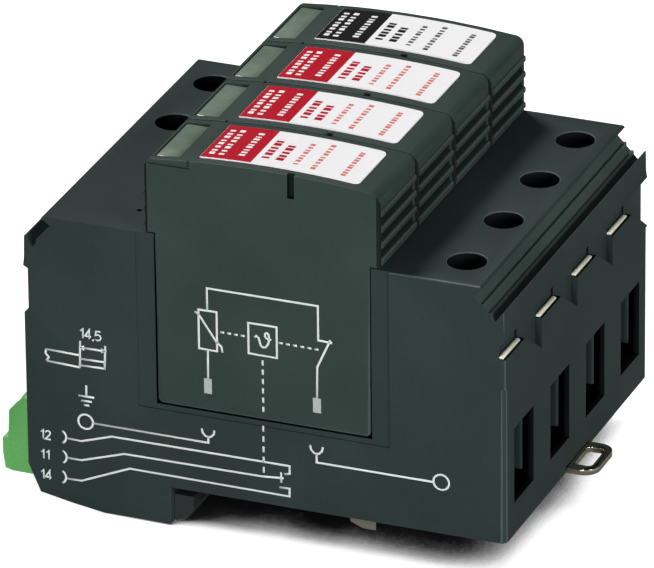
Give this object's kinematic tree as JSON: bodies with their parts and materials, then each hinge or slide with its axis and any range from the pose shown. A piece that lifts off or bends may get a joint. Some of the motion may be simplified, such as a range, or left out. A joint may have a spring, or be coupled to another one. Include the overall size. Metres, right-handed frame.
{
  "type": "din rail surge arrester",
  "caption": "Rail-mounted surge arrester: a moulded base with screw clamps, pull-out protection plugs with status windows, a pull-off signal connector and a sprung rail latch.",
  "frame": {"origin": "middle of the rail seat, on the plane where the rail's flanges bear", "axes": "+X across the rail towards the line terminals and the latch, +Y along the rail away from the signal connector's pole, +Z away from the rail"},
  "size_m": [0.1016, 0.0712, 0.0716],
  "materials": {
    "housing": "fine matte grain",
    "plug_shell": "fine matte grain",
    "dark_plastic": "matte",
    "steel": "zinc plated",
    "copper": "bright",
    "signal_green": "satin",
    "white_plastic": "matte",
    "varistor_coat": "dipped coating",
    "gap_case": "matte",
    "flag": "matte",
    "lens": "frosted clear",
    "label_red": "coated, red field at one end",
    "label_black": "coated, black field at one end"
  },
  "bodies": {
    "base": {"base_housing": "housing", "foot_plate": "dark_plastic", "line_contact_1": "copper", "line_contact_2": "copper", "line_contact_3": "copper", "line_contact_4": "copper", "earth_bar": "copper", "signal_header": "signal_green", "signal_switch": "dark_plastic"},
    "latch": {"rail_latch": "steel"},
    "signal_lever": {"signal_bar": "white_plastic"},
    "signal_connector": {"signal_plug": "signal_green"},
    "signal_clamp_1": {"signal_screw_1": "steel"},
    "signal_clamp_2": {"signal_screw_2": "steel"},
    "signal_clamp_3": {"signal_screw_3": "steel"},
    "line_screw_1": {"line_screw_1": "steel"},
    "line_cage_1": {"line_cage_1": "steel"},
    "line_screw_2": {"line_screw_2": "steel"},
    "line_cage_2": {"line_cage_2": "steel"},
    "line_screw_3": {"line_screw_3": "steel"},
    "line_cage_3": {"line_cage_3": "steel"},
    "line_screw_4": {"line_screw_4": "steel"},
    "line_cage_4": {"line_cage_4": "steel"},
    "earth_screw_1": {"earth_screw_1": "steel"},
    "earth_cage_1": {"earth_cage_1": "steel"},
    "earth_screw_2": {"earth_screw_2": "steel"},
    "earth_cage_2": {"earth_cage_2": "steel"},
    "plug_1": {"plug_housing_1": "plug_shell", "plug_base_1": "dark_plastic", "plug_blades_1": "copper", "varistor_1": "varistor_coat", "disconnect_strip_1": "copper", "window_lens_1": "lens", "plug_label_1": "label_red"},
    "flag_1": {"indicator_flag_1": "flag"},
    "plug_2": {"plug_housing_2": "plug_shell", "plug_base_2": "dark_plastic", "plug_blades_2": "copper", "varistor_2": "varistor_coat", "disconnect_strip_2": "copper", "window_lens_2": "lens", "plug_label_2": "label_red"},
    "flag_2": {"indicator_flag_2": "flag"},
    "plug_3": {"plug_housing_3": "plug_shell", "plug_base_3": "dark_plastic", "plug_blades_3": "copper", "varistor_3": "varistor_coat", "disconnect_strip_3": "copper", "window_lens_3": "lens", "plug_label_3": "label_red"},
    "flag_3": {"indicator_flag_3": "flag"},
    "plug_4": {"plug_housing_4": "plug_shell", "plug_base_4": "dark_plastic", "plug_blades_4": "copper", "spark_gap": "gap_case", "disconnect_strip_4": "copper", "window_lens_4": "lens", "plug_label_4": "label_black"},
    "flag_4": {"indicator_flag_4": "flag"}
  },
  "joints": [
    {"name": "latch_pull", "type": "slide", "parent": "base", "child": "latch", "axis": [1, 0, 0], "range_m": [0, 0.004], "stiffness_N_per_m": 900, "springref_m": -0.003},
    {"name": "signal_lever_press", "type": "slide", "parent": "base", "child": "signal_lever", "axis": [0, 0, -1], "range_m": [0, 0.0012], "stiffness_N_per_m": 400, "springref_m": -0.001},
    {"name": "signal_connector_pull", "type": "slide", "parent": "base", "child": "signal_connector", "axis": [-1, 0, 0], "range_m": [0, 0.012]},
    {"name": "signal_clamp_1_turn", "type": "hinge", "parent": "signal_connector", "child": "signal_clamp_1", "pos_m": [-0.0483, -0.0227, -0.00031], "axis": [0, -1, 0], "range_deg": [0, 720]},
    {"name": "signal_clamp_2_turn", "type": "hinge", "parent": "signal_connector", "child": "signal_clamp_2", "pos_m": [-0.0483, -0.0227, 0.0035], "axis": [0, -1, 0], "range_deg": [0, 720]},
    {"name": "signal_clamp_3_turn", "type": "hinge", "parent": "signal_connector", "child": "signal_clamp_3", "pos_m": [-0.0483, -0.0227, 0.00731], "axis": [0, -1, 0], "range_deg": [0, 720]},
    {"name": "line_screw_1_turn", "type": "hinge", "parent": "base", "child": "line_screw_1", "pos_m": [0.0346, -0.0267, 0.0378], "axis": [0, 0, -1], "range_deg": [0, 3602]},
    {"name": "line_cage_1_lift", "type": "slide", "parent": "base", "child": "line_cage_1", "axis": [0, 0, 1], "range_m": [0, 0.008]},
    {"name": "line_screw_2_turn", "type": "hinge", "parent": "base", "child": "line_screw_2", "pos_m": [0.0346, -0.0089, 0.0378], "axis": [0, 0, -1], "range_deg": [0, 3602]},
    {"name": "line_cage_2_lift", "type": "slide", "parent": "base", "child": "line_cage_2", "axis": [0, 0, 1], "range_m": [0, 0.008]},
    {"name": "line_screw_3_turn", "type": "hinge", "parent": "base", "child": "line_screw_3", "pos_m": [0.0346, 0.0089, 0.0378], "axis": [0, 0, -1], "range_deg": [0, 3602]},
    {"name": "line_cage_3_lift", "type": "slide", "parent": "base", "child": "line_cage_3", "axis": [0, 0, 1], "range_m": [0, 0.008]},
    {"name": "line_screw_4_turn", "type": "hinge", "parent": "base", "child": "line_screw_4", "pos_m": [0.0346, 0.0267, 0.0378], "axis": [0, 0, -1], "range_deg": [0, 3602]},
    {"name": "line_cage_4_lift", "type": "slide", "parent": "base", "child": "line_cage_4", "axis": [0, 0, 1], "range_m": [0, 0.008]},
    {"name": "earth_screw_1_turn", "type": "hinge", "parent": "base", "child": "earth_screw_1", "pos_m": [-0.0346, 0.0089, 0.0378], "axis": [0, 0, -1], "range_deg": [0, 3602]},
    {"name": "earth_cage_1_lift", "type": "slide", "parent": "base", "child": "earth_cage_1", "axis": [0, 0, 1], "range_m": [0, 0.008]},
    {"name": "earth_screw_2_turn", "type": "hinge", "parent": "base", "child": "earth_screw_2", "pos_m": [-0.0346, 0.0267, 0.0378], "axis": [0, 0, -1], "range_deg": [0, 3602]},
    {"name": "earth_cage_2_lift", "type": "slide", "parent": "base", "child": "earth_cage_2", "axis": [0, 0, 1], "range_m": [0, 0.008]},
    {"name": "plug_1_pull", "type": "slide", "parent": "base", "child": "plug_1", "axis": [0, 0, 1], "range_m": [0, 0.045]},
    {"name": "flag_1_slide", "type": "slide", "parent": "plug_1", "child": "flag_1", "axis": [1, 0, 0], "range_m": [0, 0.005]},
    {"name": "plug_2_pull", "type": "slide", "parent": "base", "child": "plug_2", "axis": [0, 0, 1], "range_m": [0, 0.045]},
    {"name": "flag_2_slide", "type": "slide", "parent": "plug_2", "child": "flag_2", "axis": [1, 0, 0], "range_m": [0, 0.005]},
    {"name": "plug_3_pull", "type": "slide", "parent": "base", "child": "plug_3", "axis": [0, 0, 1], "range_m": [0, 0.045]},
    {"name": "flag_3_slide", "type": "slide", "parent": "plug_3", "child": "flag_3", "axis": [1, 0, 0], "range_m": [0, 0.005]},
    {"name": "plug_4_pull", "type": "slide", "parent": "base", "child": "plug_4", "axis": [0, 0, 1], "range_m": [0, 0.045]},
    {"name": "flag_4_slide", "type": "slide", "parent": "plug_4", "child": "flag_4", "axis": [1, 0, 0], "range_m": [0, 0.005]}
  ],
  "couplings": [
    {"joint": "line_screw_1_turn", "follows": "line_cage_1_lift", "rad_per_m": 7854},
    {"joint": "line_screw_2_turn", "follows": "line_cage_2_lift", "rad_per_m": 7854},
    {"joint": "line_screw_3_turn", "follows": "line_cage_3_lift", "rad_per_m": 7854},
    {"joint": "line_screw_4_turn", "follows": "line_cage_4_lift", "rad_per_m": 7854},
    {"joint": "earth_screw_1_turn", "follows": "earth_cage_1_lift", "rad_per_m": 7854},
    {"joint": "earth_screw_2_turn", "follows": "earth_cage_2_lift", "rad_per_m": 7854}
  ]
}
